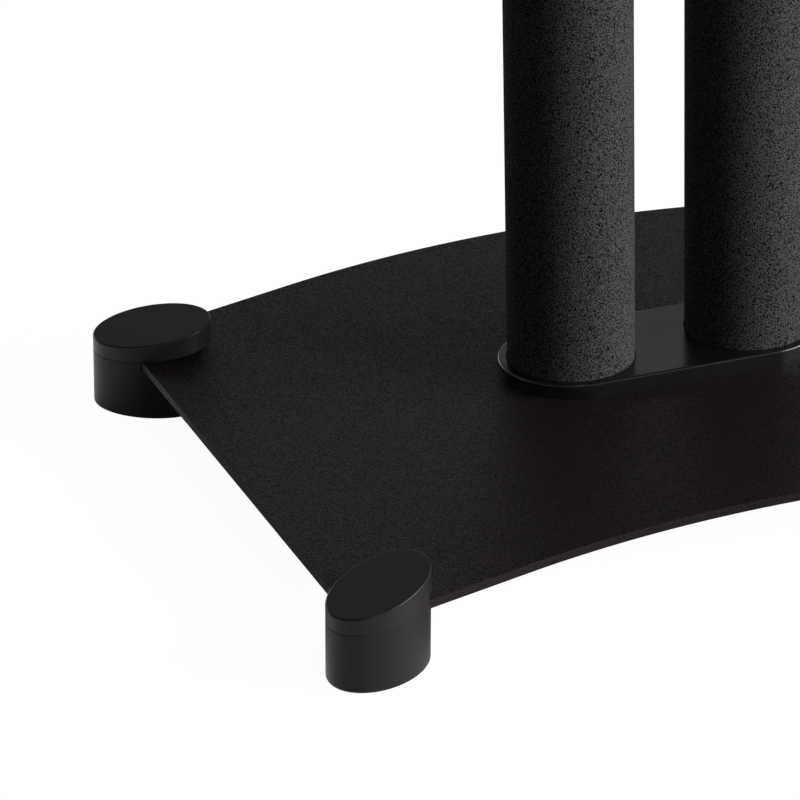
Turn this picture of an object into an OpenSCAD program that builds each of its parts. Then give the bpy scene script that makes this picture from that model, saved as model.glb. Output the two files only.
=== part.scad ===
// Twin pillar speaker stand: a bowed steel base plate on four oval feet, two round
// pillars in a stadium shoe at each end, and a top plate with resilient pads.
// X runs along the line of the pillars, the concave front faces -Y and the floor is Z = 0.
// The origin lies on the floor, in the middle of the footprint.

/* [Stand] */
// Overall height, from the floor to the top of the speaker pads
stand_h = 660; // [400:1:900]

/* [Pillars] */
// Distance between the two pillar axes
pillar_pitch = 76.2; // [66:0.1:110]
// Outer diameter of a pillar tube
pillar_d = 50.8; // [40:0.1:60]
// Wall of a pillar tube
pillar_wall = 1.6; // [1.2:0.1:4]
// Thickness of the tapped plate welded into each tube end
end_plate_t = 6; // [4:0.5:10]

/* [Base plate] */
// Width of the base plate along the pillar line
base_w = 386; // [340:1:460]
// Thickness of the base plate
base_t = 3.4; // [2.5:0.1:6]
// Height of the top of the base plate above the floor
base_top_z = 25.5; // [23:0.1:34]
// From the pillar line to the middle of the convex rear edge
base_rear = 138; // [120:1:170]
// From the pillar line to the middle of the concave front edge
base_front = 138.4; // [120:0.1:170]
// Radius of the rear edge's bow
rear_bow_r = 392; // [330:1:600]
// Radius of the front edge's bow
front_bow_r = 420; // [330:1:600]
// Angle of the straight stretch at each end of the rear edge
rear_flare = 16.7; // [10:0.1:20]
// Angle of the straight stretch at each end of the front edge
front_flare = 16.3; // [10:0.1:20]
// Corner radius of the base plate, inside the feet
base_corner_r = 6; // [4:0.5:9]

/* [Top plate] */
// Width of the top plate
top_w = 165; // [150:1:220]
// Depth of the top plate
top_depth = 165; // [150:1:220]
// Thickness of the top plate
top_t = 3.4; // [3.4:0.1:6]
// Radius of the bow of the top plate's front and rear edges
top_bow_r = 420; // [300:1:800]
// Corner radius of the top plate
top_corner_r = 9; // [4:0.5:14]
// Spacing of the four holes for bolting a speaker down
speaker_pitch = 100; // [90:1:110]
// Diameter of those holes
speaker_hole_d = 6.6; // [5:0.1:8]

/* [Shoes] */
// Height of the stadium shoe round each pair of tube ends
shoe_h = 6; // [4:0.5:12]
// How far the shoe stands out beyond the tubes
shoe_margin = 3.7; // [2.5:0.1:8]
// Rounding of the shoe's free rim
shoe_rim_r = 0.9; // [0.5:0.1:1.5]

/* [Feet] */
// Length of a foot's oval
foot_l = 48.4; // [46:0.1:54]
// Width of a foot's oval
foot_w = 35; // [33:0.1:40]
// Height of a cap above the base plate, at the middle of the foot
cap_h = 8.1; // [7.5:0.1:12]
// Rise of the cap's top toward the middle of the stand, in degrees
cap_slant = 11.5; // [0:0.1:12]
// Height of the seam between cap and body above the base plate, at the middle of the foot
seam_lift = 0.3; // [0.1:0.05:0.6]
// Rise of that seam toward the middle of the stand, in degrees
seam_slant = 7.2; // [0:0.1:8]
// Shift of a foot's underside away from the middle of the stand, against its cap
foot_rake = 0.8; // [0:0.1:1]
// Turn of a front foot's long axis away from the pillar line
front_foot_turn = 38; // [30:1:45]
// Turn of a rear foot's long axis away from the pillar line
rear_foot_turn = 35; // [30:1:45]
// From the short edge of the base plate in to the middle of a front foot
front_foot_inset_x = 12.5; // [11:0.1:15]
// From the plate's front corner in to the middle of a front foot
front_foot_inset_y = 13.8; // [12:0.1:16]
// From the short edge of the base plate in to the middle of a rear foot
rear_foot_inset_x = 9.5; // [9:0.1:12]
// From the plate's rear corner in to the middle of a rear foot
rear_foot_inset_y = 9.1; // [8:0.1:12]
// Thickness of the rubber pad let into the underside of a foot
floor_pad_t = 1.2; // [0.8:0.1:1.4]

/* [Carpet spikes] */
// Thread diameter of a spike
spike_d = 6; // [5:0.5:8]
// How far a spike winds down out of its foot
spike_travel = 10; // [4:0.5:10]

/* [Speaker pads] */
// Diameter of a speaker pad
speaker_pad_d = 18; // [12:0.5:20]
// Thickness of a speaker pad
speaker_pad_t = 2; // [1:0.1:5]
// From the edges of the top plate in to the middle of a speaker pad
speaker_pad_inset = 15; // [14:0.5:20]

/* [Hidden] */

LEFT = -1;
RIGHT = 1;
FRONT = -1;
REAR = 1;
BOTH = [-1, 1];

// Smoothness of true round surfaces, of bowed edges, of ovals and of their rounded rims
round_fn = 96;
bow_steps = 20;
corner_steps = 6;
oval_steps = 72;
rim_steps = 5;

// Overrun of every cut past the face that it opens
overrun = 1;

// Gap between a tube and the bore of its shoe, and between a tube and its end plate
shoe_gap = 0.15;
weld_gap = 0.05;

// Fixing bolts of the pillars: thread, head, washer and their place on the end plate
bolt_d = 6;
bolt_gap = 0.15;
tapped_gap = 0.05;
bolt_head_d = 10;
bolt_head_h = 4;
bolt_socket_across = 5;
bolt_socket_depth = 2.4;
washer_d = 12;
washer_t = 1.2;
bolt_pitch = 26;
top_bolt_head_d = 12;
top_bolt_socket_across = 4;
top_bolt_socket_depth = 1.8;

// A foot's details: the body is drawn in a little from the cap and has a rounded bottom edge,
// and the cap's flat land bears on the plate inside its slanted rim
cap_rim_r = 0.7;
cap_land_inset = 3.5;
body_step = 0.15;
body_draft = 0.05;
body_bottom_r = 0.8;
pocket_gap = 0.2;
pocket_slack = 0.6;
floor_pad_proud = 0.3;
floor_pad_gap = 0.1;
floor_pad_margin = 4;
floor_pad_hole_d = 18;

// The clamping screw of a foot and the peg that keeps its cap from turning
screw_d = 4;
screw_gap = 0.2;
screw_offset = 14;
screw_head_d = 7;
screw_head_h = 3.2;
screw_head_gap = 0.5;
screw_seat_z = 9;
screw_in_cap = 5.4;
screw_socket_across = 2.5;
screw_socket_depth = 1.6;
screw_land_d = 9;
peg_d = 3;
peg_l = 5;
peg_gap = 0.1;
peg_offset = 19.3;

// The carpet spike, its threaded bush and the cavity that takes its collar and point
spike_gap = 0.05;
spike_point_z = 1.6;
spike_cone_l = 7;
spike_cone_d = 7.6;
spike_tip_d = 0.8;
spike_collar_across = 9;
spike_collar_h = 2.4;
spike_kept_l = 9;
spike_end_chamfer = 0.6;
bush_d = 10;
bush_l = 8.6;
bush_flange_d = 14;
bush_flange_t = 1.2;
spike_hole_d = 8.6;
cavity_d = 13;
cavity_top_z = 13;
spike_cap_room = 0.7;

// Heights
base_low_z = base_top_z - base_t;
top_face_z = stand_h - speaker_pad_t;
top_low_z = top_face_z - top_t;
pocket_z = base_low_z - pocket_slack;
seam_z = base_top_z + seam_lift;
spike_thread_l = spike_travel + spike_kept_l;
spike_collar_z = spike_point_z + spike_cone_l;
spike_top_z = spike_collar_z + spike_collar_h + spike_thread_l;

// Radii and plan sizes
tube_r = pillar_d / 2;
tube_bore_r = tube_r - pillar_wall;
end_plate_r = tube_bore_r - weld_gap;
shoe_r = tube_r + shoe_margin;
cap_slope = tan(cap_slant);
seam_slope = tan(seam_slant);

// A height above all of a foot, for what is open upward there
above_foot_z = base_top_z + cap_h + cap_slope * foot_l / 2 + overrun;

// Half width of the straight and bowed stretches of a plate's edge, and the edge's drop
function bow_half(bow_r, flare) = bow_r * sin(flare);
function edge_drop(half_w, bow_r, flare) =
  bow_r * (1 - cos(flare)) + (half_w - bow_half(bow_r, flare)) * tan(flare);

// Plan of the feet, from the plate's corners
function foot_turn(end) = end == FRONT ? front_foot_turn : -rear_foot_turn;
function foot_x(end) = base_w / 2 - (end == FRONT ? front_foot_inset_x : rear_foot_inset_x);
front_corner_y = -base_front - edge_drop(base_w / 2, front_bow_r, front_flare);
rear_corner_y = base_rear - edge_drop(base_w / 2, rear_bow_r, rear_flare);
front_foot_y = front_corner_y + front_foot_inset_y;
rear_foot_y = rear_corner_y - rear_foot_inset_y;

// The pillar line lies behind the origin, so that the footprint is centred
foot_half_y = norm([foot_l / 2 * sin(front_foot_turn), foot_w / 2 * cos(front_foot_turn)]);
pillar_y = (foot_half_y - front_foot_y - base_rear) / 2;
function foot_y(end) = pillar_y + (end == FRONT ? front_foot_y : rear_foot_y);

// Rounded corner between the lines a-b and b-c, as an arc of points
function unit(v) = v / norm(v);
function corner_arc(a, b, c, r) =
  let (
    u = unit(a - b),
    v = unit(c - b),
    half = acos(u * v) / 2,
    centre = b + unit(u + v) * r / sin(half),
    from = b + u * r / tan(half) - centre,
    to = b + v * r / tan(half) - centre,
    start = atan2(from.y, from.x),
    sweep = (atan2(to.y, to.x) - start + 540) % 360 - 180
  )
  [for (i = [0:corner_steps]) centre + r * [cos(start + sweep * i / corner_steps),
                                            sin(start + sweep * i / corner_steps)]];

// Bowed edge from -X to +X whose middle is at y, dropping toward both ends
function bowed_edge(y, bow_r, flare) =
  [for (i = [-bow_steps:bow_steps]) let (t = flare * i / bow_steps)
    [bow_r * sin(t), y - bow_r * (1 - cos(t))]];

// Outline of a plate with a convex rear and a concave front edge, about the pillar line
function plate_outline(w, front, rear, front_r, rear_r, front_a, rear_a, corner_r) =
  let (
    front_arc = bowed_edge(-front, front_r, front_a),
    rear_arc = bowed_edge(rear, rear_r, rear_a),
    low = -front - edge_drop(w / 2, front_r, front_a),
    high = rear - edge_drop(w / 2, rear_r, rear_a),
    fl = [-w / 2, low],
    fr = [w / 2, low],
    rl = [-w / 2, high],
    rr = [w / 2, high]
  )
  concat(
    corner_arc(rl, fl, front_arc[0], corner_r),
    front_arc,
    corner_arc(front_arc[2 * bow_steps], fr, rr, corner_r),
    corner_arc(fr, rr, rear_arc[2 * bow_steps], corner_r),
    [for (i = [2 * bow_steps:-1:0]) rear_arc[i]],
    corner_arc(rear_arc[0], rl, fl, corner_r)
  );

module base_outline(grow = 0)
  polygon(plate_outline(base_w + 2 * grow, base_front + grow, base_rear + grow,
                        front_bow_r - grow, rear_bow_r + grow, front_flare, rear_flare,
                        base_corner_r));

// The bow of the top plate runs out at its corners, with no straight stretch
top_bow_angle = asin((top_w / 2 - top_corner_r) / top_bow_r);

module top_outline()
  polygon(plate_outline(top_w, top_depth / 2, top_depth / 2, top_bow_r, top_bow_r,
                        top_bow_angle, top_bow_angle, top_corner_r));

// Solid skinned over a stack of rings that have as many points each
module loft(rings) {
  n = len(rings[0]);
  last = len(rings) - 1;
  polyhedron(
    points = [for (ring = rings) each ring],
    faces = concat(
      [[for (i = [0:n - 1]) i]],
      [for (k = [0:last - 1], i = [0:n - 1])
        [k * n + i, (k + 1) * n + i, (k + 1) * n + (i + 1) % n]],
      [for (k = [0:last - 1], i = [0:n - 1])
        [k * n + i, (k + 1) * n + (i + 1) % n, k * n + (i + 1) % n]],
      [[for (i = [n - 1:-1:0]) last * n + i]]
    )
  );
}

// Oval ring drawn in from a foot's outline, turned in plan and tilted along X
function oval_ring(inset, turn, z, slope = 0) =
  [for (i = [0:oval_steps - 1])
    let (
      t = 360 * i / oval_steps,
      u = (foot_l / 2 - inset) * cos(t),
      v = (foot_w / 2 - inset) * sin(t),
      x = u * cos(turn) - v * sin(turn)
    )
    [x, u * sin(turn) + v * cos(turn), z + slope * x]];

// Outline of a left foot's underside, drawn in
module foot_oval(end, inset)
  polygon([for (p = oval_ring(inset, foot_turn(end), 0)) [p.x - foot_rake, p.y]]);

// Places a left foot's piece at one of the four corners; x runs toward the stand's middle
module at_foot(end, side)
  translate([side * foot_x(end), foot_y(end), 0])
    if (side == RIGHT) mirror([1, 0, 0]) children();
    else children();

// Moves along a foot's long axis, inward for a positive distance
module along_foot(end, distance)
  rotate([0, 0, foot_turn(end)]) translate([distance, 0, 0]) children();

module at_pillar(side)
  translate([side * pillar_pitch / 2, pillar_y, 0]) children();

module at_pillar_bolts(side)
  for (along = BOTH)
    at_pillar(side) translate([0, along * bolt_pitch / 2, 0]) children();

module base_plate()
  color([0.11, 0.105, 0.10]) difference() {
    translate([0, pillar_y, base_low_z]) linear_extrude(base_t) base_outline();
    for (side = BOTH)
      at_pillar_bolts(side) translate([0, 0, base_low_z - overrun])
        cylinder(h = base_t + 2 * overrun, d = bolt_d + 2 * bolt_gap, $fn = round_fn);
    for (end = BOTH, side = BOTH)
      at_foot(end, side) translate([0, 0, base_low_z - overrun]) {
        cylinder(h = base_t + 2 * overrun, d = spike_hole_d, $fn = round_fn);
        along_foot(end, screw_offset)
          cylinder(h = base_t + 2 * overrun, d = screw_d + 2 * screw_gap, $fn = round_fn);
      }
  }

module top_plate()
  color([0.11, 0.105, 0.10]) difference() {
    translate([0, pillar_y, top_low_z]) linear_extrude(top_t) top_outline();
    for (side = BOTH)
      at_pillar_bolts(side) {
        translate([0, 0, top_low_z - overrun])
          cylinder(h = top_t + 2 * overrun, d = bolt_d + 2 * bolt_gap, $fn = round_fn);
        translate([0, 0, top_face_z - countersink_h])
          cylinder(h = countersink_h + overrun, d1 = bolt_d + 2 * bolt_gap,
                   d2 = bolt_d + 2 * bolt_gap + 2 * (countersink_h + overrun), $fn = round_fn);
      }
    for (x = BOTH, y = BOTH)
      translate([x * speaker_pitch / 2, pillar_y + y * speaker_pitch / 2, top_low_z - overrun])
        cylinder(h = top_t + 2 * overrun, d = speaker_hole_d, $fn = round_fn);
  }

// Half of the difference of head and shank diameters, for a 90 degree countersink
countersink_h = (top_bolt_head_d - bolt_d) / 2;

// Stadium shoe with a rounded rim on top, standing on z = 0
module shoe()
  color([0.045, 0.045, 0.05]) difference() {
    union() {
      for (side = BOTH)
        translate([side * pillar_pitch / 2, 0, 0]) rotate_extrude($fn = round_fn) shoe_profile();
      translate([-pillar_pitch / 2, 0, 0]) rotate([90, 0, 90]) linear_extrude(pillar_pitch) {
        shoe_profile();
        mirror([1, 0]) shoe_profile();
      }
    }
    for (side = BOTH)
      translate([side * pillar_pitch / 2, 0, -overrun])
        cylinder(h = shoe_h + 2 * overrun, r = tube_r + shoe_gap, $fn = round_fn);
  }

// Half section of the shoe, from its middle out to the rounded rim
module shoe_profile() {
  square([shoe_r - shoe_rim_r, shoe_h]);
  square([shoe_r, shoe_h - shoe_rim_r]);
  translate([shoe_r - shoe_rim_r, shoe_h - shoe_rim_r]) intersection() {
    circle(r = shoe_rim_r, $fn = round_fn);
    square(shoe_rim_r);
  }
}

module lower_shoe() translate([0, pillar_y, base_top_z]) shoe();

module upper_shoe() translate([0, pillar_y, top_low_z]) mirror([0, 0, 1]) shoe();

module pillar(side)
  color([0.12, 0.112, 0.108]) at_pillar(side) translate([0, 0, base_top_z]) difference() {
    cylinder(h = top_low_z - base_top_z, r = tube_r, $fn = round_fn);
    translate([0, 0, -overrun])
      cylinder(h = top_low_z - base_top_z + 2 * overrun, r = tube_bore_r, $fn = round_fn);
  }

module end_plate(side, z)
  color([0.35, 0.35, 0.36]) difference() {
    at_pillar(side) translate([0, 0, z]) cylinder(h = end_plate_t, r = end_plate_r, $fn = round_fn);
    at_pillar_bolts(side) translate([0, 0, z - overrun])
      cylinder(h = end_plate_t + 2 * overrun, d = bolt_d + 2 * tapped_gap, $fn = round_fn);
  }

// Hexagonal key socket, measured across its flats
module hex_socket(across, depth)
  cylinder(h = depth + overrun, d = across / cos(30), $fn = 6);

module base_bolts()
  color([0.30, 0.30, 0.32]) for (side = BOTH)
    at_pillar_bolts(side) translate([0, 0, base_low_z - washer_t - bolt_head_h]) difference() {
      union() {
        cylinder(h = bolt_head_h, d = bolt_head_d, $fn = round_fn);
        cylinder(h = bolt_head_h + washer_t + base_t + end_plate_t, d = bolt_d, $fn = round_fn);
      }
      translate([0, 0, -overrun]) hex_socket(bolt_socket_across, bolt_socket_depth);
    }

module base_washers()
  color([0.62, 0.62, 0.64]) for (side = BOTH)
    at_pillar_bolts(side) translate([0, 0, base_low_z - washer_t]) difference() {
      cylinder(h = washer_t, d = washer_d, $fn = round_fn);
      translate([0, 0, -overrun])
        cylinder(h = washer_t + 2 * overrun, d = bolt_d + 2 * bolt_gap, $fn = round_fn);
    }

// Countersunk bolts, flush with the top plate
module top_bolts()
  color([0.30, 0.30, 0.32]) for (side = BOTH)
    at_pillar_bolts(side) translate([0, 0, top_face_z]) difference() {
      union() {
        translate([0, 0, -countersink_h])
          cylinder(h = countersink_h, d1 = bolt_d, d2 = top_bolt_head_d, $fn = round_fn);
        translate([0, 0, -top_t - end_plate_t])
          cylinder(h = top_t + end_plate_t, d = bolt_d, $fn = round_fn);
      }
      translate([0, 0, -top_bolt_socket_depth])
        hex_socket(top_bolt_socket_across, top_bolt_socket_depth);
    }

// Slanted oval cap on the plate's corner: a flat land inside its rim bears on the plate, its
// rim meets the body at the slanted seam, and its peg enters the body
module foot_cap(end, side)
  color([0.07, 0.07, 0.072]) difference() {
    union() {
      at_foot(end, side) {
        loft(concat(
          [oval_ring(0, foot_turn(end), seam_z, seam_slope)],
          [for (k = [0:rim_steps]) let (t = 90 * k / rim_steps)
            oval_ring(cap_rim_r * (1 - cos(t)), foot_turn(end),
                      base_top_z + cap_h - cap_rim_r * (1 - sin(t)), cap_slope)]
        ));
        along_foot(end, -peg_offset) translate([0, 0, base_top_z - peg_l])
          cylinder(h = peg_l + overrun, d = peg_d, $fn = round_fn);
      }
      intersection() {
        at_foot(end, side) loft([
          oval_ring(cap_land_inset, foot_turn(end), base_top_z),
          oval_ring(cap_land_inset, foot_turn(end), base_top_z + cap_h - cap_rim_r, cap_slope)
        ]);
        translate([0, pillar_y, base_top_z]) linear_extrude(above_foot_z - base_top_z)
          base_outline();
      }
    }
    translate([0, pillar_y, pocket_z]) linear_extrude(base_top_z - pocket_z)
      base_outline(pocket_gap);
    at_foot(end, side) translate([0, 0, base_top_z - overrun]) {
      cylinder(h = spike_top_z + spike_cap_room - base_top_z + overrun, d = spike_hole_d,
               $fn = round_fn);
      along_foot(end, screw_offset)
        cylinder(h = screw_in_cap + overrun, d = screw_d + 2 * tapped_gap, $fn = round_fn);
    }
  }

// Oval body under the plate's corner, up to the slanted seam, with a pocket for the corner
// and a recess for the floor pad
module foot_body(end, side)
  color([0.07, 0.07, 0.072]) difference() {
    at_foot(end, side) loft(concat(
      [for (k = [0:rim_steps]) let (t = 90 * k / rim_steps)
        [for (p = oval_ring(body_step + body_draft + body_bottom_r * (1 - sin(t)),
                            foot_turn(end), floor_pad_proud + body_bottom_r * (1 - cos(t))))
          p - [foot_rake, 0, 0]]],
      [oval_ring(body_step, foot_turn(end), seam_z, seam_slope)]
    ));
    difference() {
      translate([0, pillar_y, pocket_z]) linear_extrude(above_foot_z - pocket_z)
        base_outline(pocket_gap);
      at_foot(end, side) along_foot(end, screw_offset)
        cylinder(h = base_low_z, d = screw_land_d, $fn = round_fn);
    }
    at_foot(end, side) {
      translate([0, 0, -overrun]) linear_extrude(floor_pad_t + overrun)
        foot_oval(end, floor_pad_margin - floor_pad_gap);
      cylinder(h = cavity_top_z, d = cavity_d, $fn = round_fn);
      cylinder(h = base_low_z, d = bush_d, $fn = round_fn);
      translate([0, 0, base_low_z - bush_flange_t])
        cylinder(h = bush_flange_t + overrun, d = bush_flange_d, $fn = round_fn);
      along_foot(end, screw_offset) {
        cylinder(h = base_top_z, d = screw_d + 2 * screw_gap, $fn = round_fn);
        cylinder(h = screw_seat_z, d = screw_head_d + 2 * screw_head_gap, $fn = round_fn);
      }
      along_foot(end, -peg_offset) translate([0, 0, base_top_z - peg_l - overrun])
        cylinder(h = peg_l + 2 * overrun, d = peg_d + 2 * peg_gap, $fn = round_fn);
    }
  }

// Rubber pad glued into the body's recess, open in the middle for the spike
module floor_pad(end, side)
  color([0.05, 0.05, 0.05]) at_foot(end, side) difference() {
    linear_extrude(floor_pad_t) foot_oval(end, floor_pad_margin);
    translate([0, 0, -overrun])
      cylinder(h = floor_pad_t + 2 * overrun, d = floor_pad_hole_d, $fn = round_fn);
  }

// Flanged brass bush, threaded for the spike; its flange bears on the plate
module spike_bush(end, side)
  color([0.71, 0.56, 0.28]) at_foot(end, side) difference() {
    union() {
      translate([0, 0, base_low_z - bush_l]) cylinder(h = bush_l, d = bush_d, $fn = round_fn);
      translate([0, 0, base_low_z - bush_flange_t])
        cylinder(h = bush_flange_t, d = bush_flange_d, $fn = round_fn);
    }
    translate([0, 0, base_low_z - bush_l - overrun])
      cylinder(h = bush_l + 2 * overrun, d = spike_d + 2 * spike_gap, $fn = round_fn);
  }

// Steel spike wound up into its foot: threaded stem, hexagonal collar and point
module carpet_spike(end, side)
  color([0.55, 0.55, 0.57]) at_foot(end, side) {
    translate([0, 0, spike_collar_z]) {
      cylinder(h = spike_collar_h + spike_thread_l - spike_end_chamfer, d = spike_d, $fn = round_fn);
      cylinder(h = spike_collar_h, d = spike_collar_across / cos(30), $fn = 6);
    }
    translate([0, 0, spike_top_z - spike_end_chamfer])
      cylinder(h = spike_end_chamfer, d1 = spike_d, d2 = spike_d - 2 * spike_end_chamfer,
               $fn = round_fn);
    translate([0, 0, spike_point_z])
      cylinder(h = spike_cone_l, d1 = spike_tip_d, d2 = spike_cone_d, $fn = round_fn);
  }

module foot_screws()
  color([0.62, 0.62, 0.64]) for (end = BOTH, side = BOTH)
    at_foot(end, side) along_foot(end, screw_offset) difference() {
      union() {
        translate([0, 0, screw_seat_z - screw_head_h])
          cylinder(h = screw_head_h, d = screw_head_d, $fn = round_fn);
        translate([0, 0, screw_seat_z - screw_head_h])
          cylinder(h = screw_head_h + base_top_z - screw_seat_z + screw_in_cap, d = screw_d,
                   $fn = round_fn);
      }
      translate([0, 0, screw_seat_z - screw_head_h - overrun])
        hex_socket(screw_socket_across, screw_socket_depth);
    }

module speaker_pad(end, side)
  color([0.06, 0.06, 0.06])
    translate([side * (top_w / 2 - speaker_pad_inset),
               pillar_y + end * (top_depth / 2 - speaker_pad_inset) - top_edge_drop, top_face_z])
      cylinder(h = speaker_pad_t, d = speaker_pad_d, $fn = round_fn);

// Drop of the top plate's bowed edges at the pads
top_edge_drop = top_bow_r - sqrt(pow(top_bow_r, 2) - pow(top_w / 2 - speaker_pad_inset, 2));

base_plate();
top_plate();
lower_shoe();
upper_shoe();
pillar(LEFT);  // pillar_left
pillar(RIGHT);  // pillar_right
end_plate(LEFT, base_top_z);  // end_plate_lower_left
end_plate(RIGHT, base_top_z);  // end_plate_lower_right
end_plate(LEFT, top_low_z - end_plate_t);  // end_plate_upper_left
end_plate(RIGHT, top_low_z - end_plate_t);  // end_plate_upper_right
base_bolts();
base_washers();
top_bolts();
foot_cap(FRONT, LEFT);  // foot_cap_front_left
foot_cap(FRONT, RIGHT);  // foot_cap_front_right
foot_cap(REAR, LEFT);  // foot_cap_rear_left
foot_cap(REAR, RIGHT);  // foot_cap_rear_right
foot_body(FRONT, LEFT);  // foot_body_front_left
foot_body(FRONT, RIGHT);  // foot_body_front_right
foot_body(REAR, LEFT);  // foot_body_rear_left
foot_body(REAR, RIGHT);  // foot_body_rear_right
floor_pad(FRONT, LEFT);  // floor_pad_front_left
floor_pad(FRONT, RIGHT);  // floor_pad_front_right
floor_pad(REAR, LEFT);  // floor_pad_rear_left
floor_pad(REAR, RIGHT);  // floor_pad_rear_right
spike_bush(FRONT, LEFT);  // spike_bush_front_left
spike_bush(FRONT, RIGHT);  // spike_bush_front_right
spike_bush(REAR, LEFT);  // spike_bush_rear_left
spike_bush(REAR, RIGHT);  // spike_bush_rear_right
carpet_spike(FRONT, LEFT);  // carpet_spike_front_left
carpet_spike(FRONT, RIGHT);  // carpet_spike_front_right
carpet_spike(REAR, LEFT);  // carpet_spike_rear_left
carpet_spike(REAR, RIGHT);  // carpet_spike_rear_right
foot_screws();
speaker_pad(FRONT, LEFT);  // speaker_pad_front_left
speaker_pad(FRONT, RIGHT);  // speaker_pad_front_right
speaker_pad(REAR, LEFT);  // speaker_pad_rear_left
speaker_pad(REAR, RIGHT);  // speaker_pad_rear_right
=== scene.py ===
"""Looks of a twin-pillar speaker stand, dressed over its packed construction.

Lengths are in metres, in the construction's own frame: X runs along the line of the
pillars, the concave front faces -Y and the floor is Z = 0. Each sub-assembly is a class
that models its pieces with Blender's operators and gives them their finish.
"""

import logging
import math
from collections.abc import Callable, Iterable, Iterator
from contextlib import contextmanager
from dataclasses import dataclass, field
from enum import Enum

import bmesh
import bpy
from mathutils import Matrix, Vector


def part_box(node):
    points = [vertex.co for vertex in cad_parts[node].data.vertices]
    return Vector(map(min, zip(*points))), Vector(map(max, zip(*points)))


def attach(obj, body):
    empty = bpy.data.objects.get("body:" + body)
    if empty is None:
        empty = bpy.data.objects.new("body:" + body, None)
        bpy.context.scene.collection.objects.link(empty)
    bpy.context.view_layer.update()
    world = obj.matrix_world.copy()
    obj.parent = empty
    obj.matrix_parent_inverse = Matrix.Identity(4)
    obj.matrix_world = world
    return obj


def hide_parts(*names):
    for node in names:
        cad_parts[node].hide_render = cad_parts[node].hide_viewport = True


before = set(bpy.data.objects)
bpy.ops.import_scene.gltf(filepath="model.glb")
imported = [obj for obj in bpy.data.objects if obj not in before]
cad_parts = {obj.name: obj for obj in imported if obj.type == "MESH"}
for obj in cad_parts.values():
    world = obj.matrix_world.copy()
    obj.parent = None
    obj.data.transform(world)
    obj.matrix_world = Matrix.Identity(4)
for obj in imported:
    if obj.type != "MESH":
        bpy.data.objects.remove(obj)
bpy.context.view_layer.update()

MM = 0.001
CLOSE = 0.001 * MM
OVERRUN = MM
THREAD_DEPTH_SHARE = 0.6134
SMOOTH_BELOW = math.radians(40)
STAND = "stand"
Piece = bpy.types.Object
Test = Callable[[Vector, Vector], bool]
Triple = tuple[float, float, float]

log = logging.getLogger("speaker_stand")


class Direction(Enum):
    """A direction that the construction's nodes are named after."""

    @property
    def word(self) -> str:
        """The direction as the nodes' names spell it."""
        return self.name.lower()


class End(Direction):
    """The two ends of the base plate, with their direction along Y."""

    FRONT = -1
    REAR = 1


class Side(Direction):
    """The two sides of the stand, with their direction along X."""

    LEFT = -1
    RIGHT = 1


class Element(Enum):
    """What a selection in edit mode picks."""

    POINT = "VERT"
    EDGE = "EDGE"
    FACE = "FACE"


class Join(Enum):
    """How two closed pieces are worked into one."""

    ADD = "UNION"
    CUT = "DIFFERENCE"
    KEEP_COMMON = "INTERSECT"


@dataclass(frozen=True)
class Tint:
    """A colour as a screen shows it, each part from 0 to 255."""

    red: float
    green: float
    blue: float

    @property
    def linear(self) -> tuple[float, float, float, float]:
        """The colour as the shaders take it."""
        return (*(self._open(part / 255) for part in (self.red, self.green, self.blue)), 1.0)

    @staticmethod
    def _open(part: float) -> float:
        """One part of the colour, freed of the screen's own curve."""
        return part / 12.92 if part <= 0.04045 else ((part + 0.055) / 1.055) ** 2.4


class Wire:
    """A number in a shader that takes part in Python arithmetic."""

    def __init__(self, bench: "NodeBench", socket: bpy.types.NodeSocket) -> None:
        """Wrap one output socket, whose arithmetic adds its nodes to the bench."""
        self.bench = bench
        self.socket = socket

    def _math(self, operation: str, *values: "Wire | float") -> "Wire":
        """Add one Math node and take its result."""
        sockets = dict(enumerate(values))
        return self.bench.add("ShaderNodeMath", {"operation": operation}, sockets)

    def __add__(self, other: "Wire | float") -> "Wire":
        """This number plus another."""
        return self._math("ADD", self, other)

    def __radd__(self, other: float) -> "Wire":
        """A plain number plus this one."""
        return self._math("ADD", other, self)

    def __sub__(self, other: "Wire | float") -> "Wire":
        """This number less another."""
        return self._math("SUBTRACT", self, other)

    def __rsub__(self, other: float) -> "Wire":
        """A plain number less this one."""
        return self._math("SUBTRACT", other, self)

    def __mul__(self, other: "Wire | float") -> "Wire":
        """This number times another."""
        return self._math("MULTIPLY", self, other)

    def step(self, low: float, high: float) -> "Wire":
        """A smooth rise from 0 to 1 while this number goes from low to high."""
        settings = {"interpolation_type": "SMOOTHSTEP"}
        sockets = {"Value": self, "From Min": low, "From Max": high}
        return self.bench.add("ShaderNodeMapRange", settings, sockets)

    def greater(self, other: "Wire | float") -> "Wire":
        """The larger of this number and another."""
        return self._math("MAXIMUM", self, other)


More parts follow.
